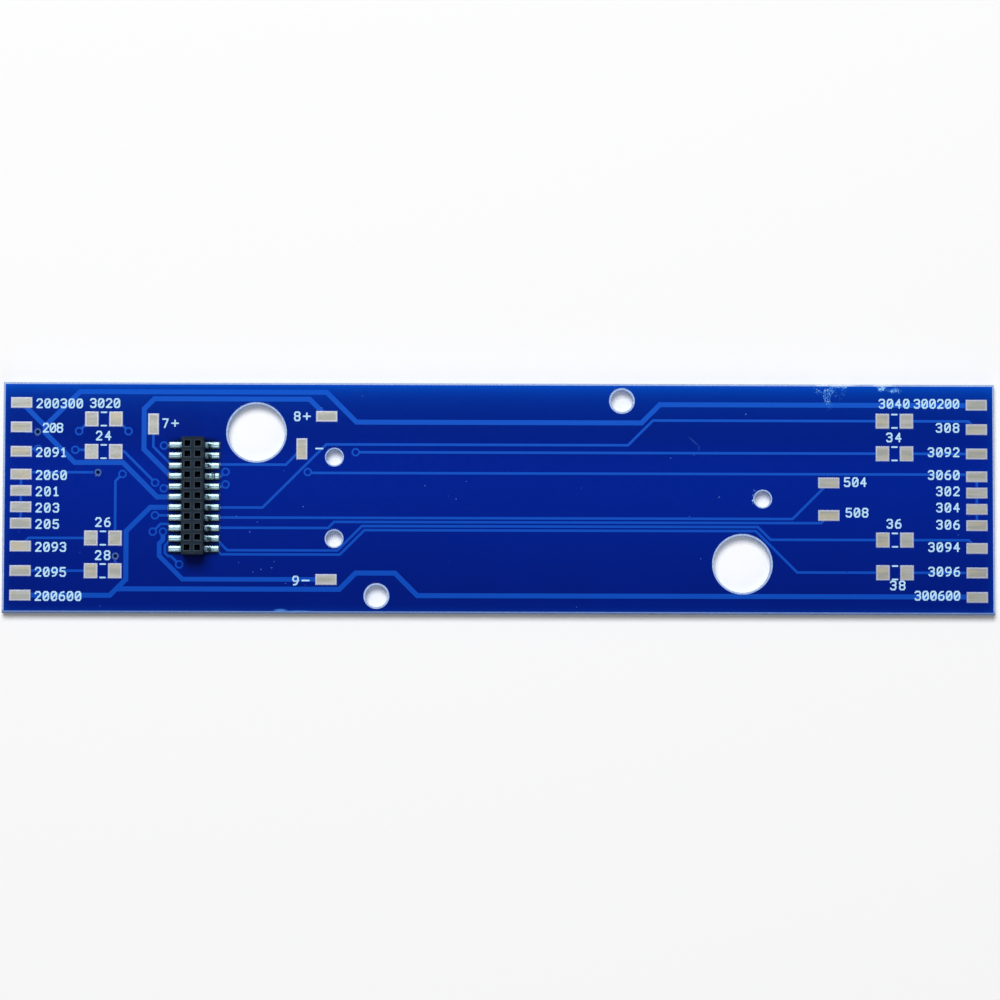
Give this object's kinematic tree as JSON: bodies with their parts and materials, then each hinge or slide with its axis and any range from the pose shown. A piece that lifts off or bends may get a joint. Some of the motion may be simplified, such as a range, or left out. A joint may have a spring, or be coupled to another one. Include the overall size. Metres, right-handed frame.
{
  "type": "model railway decoder board",
  "caption": "long narrow printed circuit board with a two-row decoder socket, wire pads along both ends, resistor footprints and chassis holes",
  "frame": {"origin": "centre of the board's underside", "axes": "+X along the board from the socket end to the other end, +Y across it towards the edge with the first row of wire pads, +Z out of the component side"},
  "size_m": [0.1216, 0.0284, 0.0052],
  "materials": {
    "glass_laminate": "bare glass-epoxy laminate, satin, cut edges slightly frayed",
    "solder_mask": "glossy blue lacquer",
    "tinned_copper": "copper foil under a thin dull tin coat",
    "solder": "bright solder",
    "contact_metal": "tin-plated spring bronze",
    "housing_plastic": "black moulded plastic",
    "marking_ink": "thin white printing"
  },
  "bodies": {
    "root": {"board_laminate": "glass_laminate", "contact_01": "contact_metal", "contact_02": "contact_metal", "contact_03": "contact_metal", "contact_04": "contact_metal", "contact_05": "contact_metal", "contact_06": "contact_metal", "contact_07": "contact_metal", "contact_08": "contact_metal", "contact_09": "contact_metal", "contact_10": "contact_metal", "contact_11": "contact_metal", "contact_12": "contact_metal", "contact_13": "contact_metal", "contact_14": "contact_metal", "contact_15": "contact_metal", "contact_16": "contact_metal", "contact_17": "contact_metal", "contact_18": "contact_metal", "contact_19": "contact_metal", "contact_20": "contact_metal", "contact_21": "contact_metal", "contact_22": "contact_metal", "copper_aux1_feed": "tinned_copper", "copper_aux1_pad": "tinned_copper", "copper_aux2_feed": "tinned_copper", "copper_aux2_pad": "tinned_copper", "copper_aux3_feed": "tinned_copper", "copper_aux3_pad": "tinned_copper", "copper_aux4_feed": "tinned_copper", "copper_aux4_pad": "tinned_copper", "copper_aux5_feed": "tinned_copper", "copper_aux5_pad": "tinned_copper", "copper_aux6_feed": "tinned_copper", "copper_aux6_pad": "tinned_copper", "copper_buffer_minus": "tinned_copper", "copper_buffer_plus": "tinned_copper", "copper_common_supply": "tinned_copper", "copper_front_lamp_feed": "tinned_copper", "copper_front_lamp_pad": "tinned_copper", "copper_motor_minus": "tinned_copper", "copper_motor_plus": "tinned_copper", "copper_rail_left": "tinned_copper", "copper_rail_right": "tinned_copper", "copper_rear_lamp_feed": "tinned_copper", "copper_rear_lamp_pad": "tinned_copper", "copper_spare_lands": "tinned_copper", "copper_speaker_a": "tinned_copper", "copper_speaker_b": "tinned_copper", "printed_marks": "marking_ink", "socket_housing": "housing_plastic", "solder_joints": "solder", "solder_mask_bottom": "solder_mask", "solder_mask_top": "solder_mask"}
  },
  "joints": []
}
